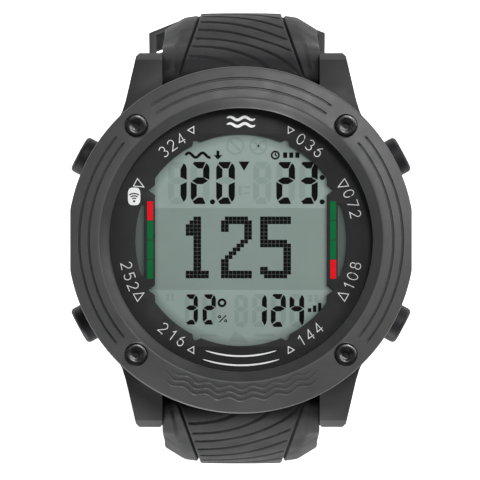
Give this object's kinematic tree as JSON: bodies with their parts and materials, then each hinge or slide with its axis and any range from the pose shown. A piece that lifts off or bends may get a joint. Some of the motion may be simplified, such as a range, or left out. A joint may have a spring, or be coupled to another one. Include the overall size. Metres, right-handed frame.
{
  "type": "wrist dive computer",
  "caption": "Round wrist dive computer with an LCD behind glass, radial push buttons and a curled rubber strap with a pin buckle.",
  "frame": {"origin": "centre of the case back's flat face", "axes": "+Z out through the dial, +Y to 12 o'clock, +X to 3 o'clock"},
  "size_m": [0.05, 0.0668, 0.0903],
  "materials": {
    "case": "fine satin composite",
    "bezel": "fine soft-touch",
    "black_steel": "black, glossy",
    "glass": "polished",
    "seal": "matte",
    "mask": "printed black",
    "lcd": "grey-green liquid crystal",
    "white_plastic": "moulded",
    "board": "solder mask",
    "chip": "moulded",
    "copper": "wound wire",
    "brass": "stamped",
    "steel": "satin",
    "case_back": "fine brushed",
    "cap": "moulded",
    "strap": "matte moulded",
    "buckle": "bead-blasted",
    "button": "matte"
  },
  "bodies": {
    "case": {"case_body": "case", "bezel_ring": "bezel", "bezel_screws": "black_steel", "lens": "glass", "lens_gasket": "seal", "dial_mask": "mask", "lcd_panel": "lcd", "backlight_plate": "white_plastic", "lcd_holder": "white_plastic", "connector_strips": "seal", "main_board": "board", "board_chips": "chip", "receiver_coil": "copper", "switch_contacts": "brass", "pressure_sensor": "steel", "sensor_seal": "seal", "sounder_disc": "brass", "coin_cell": "steel", "cell_contacts": "steel", "case_back": "case_back", "case_back_seal": "seal", "case_back_screws": "black_steel", "water_contacts": "steel", "button_sleeves": "steel", "spring_2": "steel", "spring_4": "steel", "spring_8": "steel", "spring_10": "steel", "spring_bar_12": "steel", "spring_bar_6": "steel"},
    "battery_door": {"battery_cap": "cap", "battery_cap_seal": "seal"},
    "short_half": {"strap_short": "strap", "keeper_fixed": "strap"},
    "long_half": {"strap_long": "strap"},
    "sliding_keeper": {"keeper_loose": "strap"},
    "buckle": {"buckle_frame": "buckle", "buckle_bar": "steel"},
    "tongue": {"buckle_tongue": "buckle"},
    "push_2": {"button_2": "button", "seal_2": "seal", "clip_2": "steel"},
    "push_4": {"button_4": "button", "seal_4": "seal", "clip_4": "steel"},
    "push_8": {"button_8": "button", "seal_8": "seal", "clip_8": "steel"},
    "push_10": {"button_10": "button", "seal_10": "seal", "clip_10": "steel"}
  },
  "joints": [
    {"name": "press_2", "type": "slide", "parent": "case", "child": "push_2", "axis": [-0.8813, -0.4726, 0], "range_m": [0, 0.001], "stiffness_N_per_m": 1500, "springref_m": -0.001, "deforming": ["spring_2"]},
    {"name": "press_4", "type": "slide", "parent": "case", "child": "push_4", "axis": [-0.8813, 0.4726, 0], "range_m": [0, 0.001], "stiffness_N_per_m": 1500, "springref_m": -0.001, "deforming": ["spring_4"]},
    {"name": "press_8", "type": "slide", "parent": "case", "child": "push_8", "axis": [0.8813, 0.4726, 0], "range_m": [0, 0.001], "stiffness_N_per_m": 1500, "springref_m": -0.001, "deforming": ["spring_8"]},
    {"name": "press_10", "type": "slide", "parent": "case", "child": "push_10", "axis": [0.8813, -0.4726, 0], "range_m": [0, 0.001], "stiffness_N_per_m": 1500, "springref_m": -0.001, "deforming": ["spring_10"]},
    {"name": "strap_12_swing", "type": "hinge", "parent": "case", "child": "short_half", "pos_m": [0, 0.025, 0.0044], "axis": [1, 0, 0], "range_deg": [-3, 50]},
    {"name": "strap_6_swing", "type": "hinge", "parent": "case", "child": "long_half", "pos_m": [0, -0.025, 0.0044], "axis": [-1, 0, 0], "range_deg": [-3, 50]},
    {"name": "keeper_slide", "type": "hinge", "parent": "short_half", "child": "sliding_keeper", "pos_m": [0, -0.0689, -0.01305], "axis": [1, 0, 0], "range_deg": [-0.6, 14]},
    {"name": "buckle_swing", "type": "hinge", "parent": "short_half", "child": "buckle", "pos_m": [0, 0.01917, -0.06053], "axis": [1, 0, 0], "range_deg": [-50, 30]},
    {"name": "tongue_lift", "type": "hinge", "parent": "buckle", "child": "tongue", "pos_m": [0, 0.01917, -0.06053], "axis": [1, 0, 0], "range_deg": [0, 60]},
    {"name": "battery_cap_turn", "type": "hinge", "parent": "case", "child": "battery_door", "pos_m": [0, -0.003, 0], "axis": [0, 0, 1], "range_deg": [0, 60]}
  ]
}
